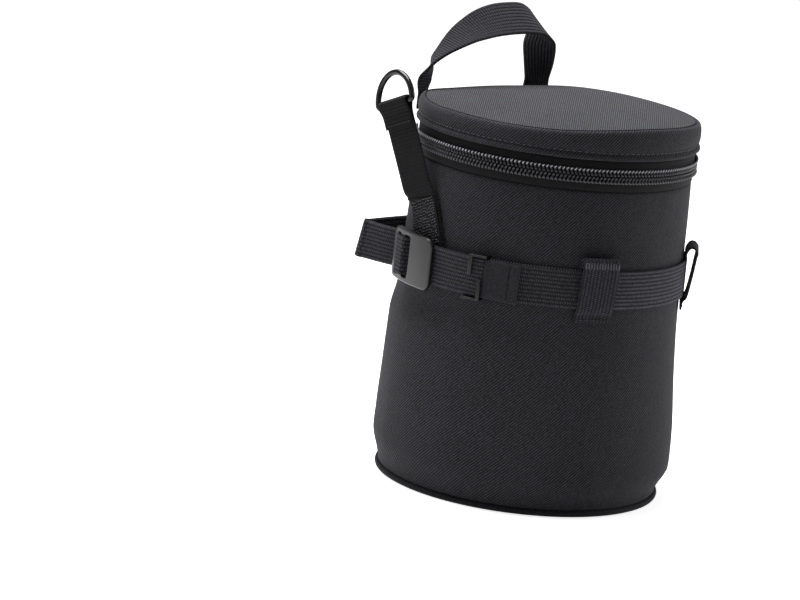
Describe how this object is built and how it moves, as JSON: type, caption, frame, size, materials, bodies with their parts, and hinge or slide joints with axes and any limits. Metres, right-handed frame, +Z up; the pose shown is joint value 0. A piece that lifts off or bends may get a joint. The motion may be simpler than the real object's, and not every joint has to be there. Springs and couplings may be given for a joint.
{
  "type": "padded lens pouch",
  "caption": "Round padded pouch for a camera lens, with a zipped hinged lid, a webbing belt with ladder lock and belt loop, a strap with a D-ring, and a carry handle",
  "frame": {"origin": "middle of the flat base, on the surface that it stands on", "axes": "+Z up along the pouch, -Y the front, +Y the lid's fabric hinge and the carry handle, -X the side with the D-ring strap and the ladder lock"},
  "size_m": [0.1635, 0.1588, 0.2464],
  "materials": {
    "pack_cloth": "matt black woven pack cloth",
    "binding": "matt woven binding tape",
    "foam": "closed-cell foam padding, hidden inside the layers",
    "lining": "smooth grey lining cloth",
    "tape": "woven zip tape",
    "teeth": "moulded plastic zip teeth",
    "webbing": "ribbed and waffle-woven polyester webbing",
    "hook": "hook fastener with rows of small hooks",
    "lock_plastic": "satin grey moulded plastic",
    "clip_plastic": "black moulded plastic",
    "black_metal": "black enamelled metal"
  },
  "bodies": {
    "pouch": {"base_panel": "pack_cloth", "base_welt": "binding", "base_foam": "foam", "base_lining": "lining", "wall_shell": "pack_cloth", "wall_foam": "foam", "wall_lining": "lining", "rim_binding": "binding", "zip_tape_lower": "tape", "zip_teeth_lower": "teeth", "zip_stop_left": "black_metal", "zip_stop_right": "black_metal", "hinge_leaf_lower": "pack_cloth", "belt_webbing": "webbing", "belt_keeper_front": "webbing", "belt_keeper_right": "webbing", "belt_keeper_back": "webbing", "belt_tail": "webbing", "ring_strap_root": "webbing", "hook_patch": "hook"},
    "lid": {"lid_top_panel": "pack_cloth", "lid_band": "pack_cloth", "lid_foam": "foam", "lid_lining": "lining", "zip_tape_upper": "tape", "zip_teeth_upper": "teeth", "hinge_leaf_upper": "pack_cloth", "handle_end_left": "webbing", "handle_end_right": "webbing"},
    "handle": {"carry_handle": "webbing"},
    "slider": {"zip_slider": "black_metal"},
    "pull": {"zip_pull": "black_metal"},
    "strap": {"ring_strap": "webbing"},
    "ring": {"d_ring": "black_metal"},
    "clip": {"web_clip": "clip_plastic"},
    "lock": {"ladder_lock": "lock_plastic", "lock_webbing": "webbing"}
  },
  "joints": [
    {"name": "lid_hinge", "type": "hinge", "parent": "pouch", "child": "lid", "pos_m": [0, 0.073, 0.1793], "axis": [-1, 0, 0], "range_deg": [0, 120]},
    {"name": "handle_swing", "type": "hinge", "parent": "lid", "child": "handle", "pos_m": [0, 0.06392, 0.2034], "axis": [1, 0, 0], "range_deg": [-82, 40]},
    {"name": "zip_travel", "type": "hinge", "parent": "pouch", "child": "slider", "pos_m": [0, 0, 0.1793], "axis": [0, 0, 1], "range_deg": [-260, 0]},
    {"name": "pull_turn", "type": "hinge", "parent": "slider", "child": "pull", "pos_m": [0.0596, 0.05001, 0.1793], "axis": [0, 0, 1], "range_deg": [0, 166]},
    {"name": "strap_bend", "type": "hinge", "parent": "pouch", "child": "strap", "pos_m": [-0.07711, 0.01851, 0.157], "axis": [0.0797, -0.9106, 0.4055], "range_deg": [-6, 60]},
    {"name": "ring_swing", "type": "hinge", "parent": "strap", "child": "ring", "pos_m": [-0.08321, 0.03579, 0.19701], "axis": [0.0797, -0.9106, 0.4055], "range_deg": [-30, 110]},
    {"name": "clip_slide", "type": "hinge", "parent": "pouch", "child": "clip", "pos_m": [0, 0, 0.1205], "axis": [0, 0, 1], "range_deg": [-8, 11]},
    {"name": "lock_tilt", "type": "hinge", "parent": "pouch", "child": "lock", "pos_m": [-0.0743, 0.0323, 0.1205], "axis": [0, 0, -1], "range_deg": [0, 35]}
  ]
}
